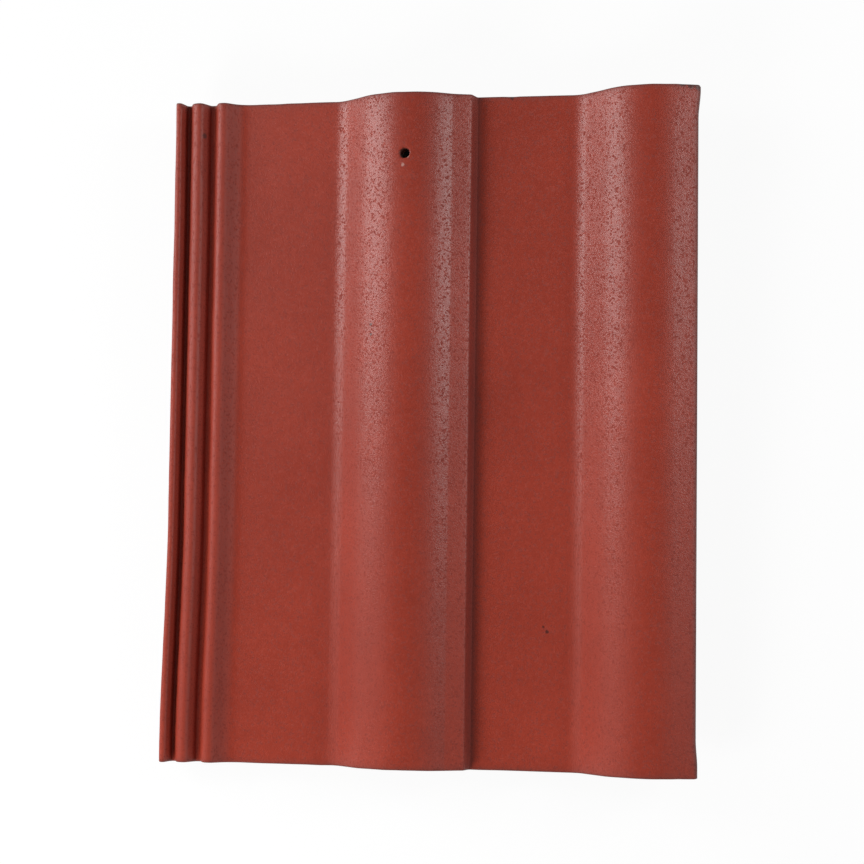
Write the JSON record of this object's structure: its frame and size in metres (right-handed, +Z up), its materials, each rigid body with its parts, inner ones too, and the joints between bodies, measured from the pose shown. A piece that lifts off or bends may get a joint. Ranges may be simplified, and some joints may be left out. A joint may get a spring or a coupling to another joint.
{
  "type": "roof tile",
  "caption": "Interlocking double roll roof tile of coated concrete with a ribbed side lock, a nail hole and hanging nibs on the underside.",
  "frame": {"origin": "centre of the bounding box on the floor the tile lies on", "axes": "+X across the tile from the side lock to the lapping edge, +Y towards the head, +Z up from the floor; the weather face is up, and the head is raised by the nibs"},
  "size_m": [0.332, 0.4188, 0.0519],
  "materials": {
    "coated_concrete": "sanded terracotta red coating with a low sheen on concrete"
  },
  "bodies": {
    "root": {"roof_tile": "coated_concrete"}
  },
  "joints": []
}
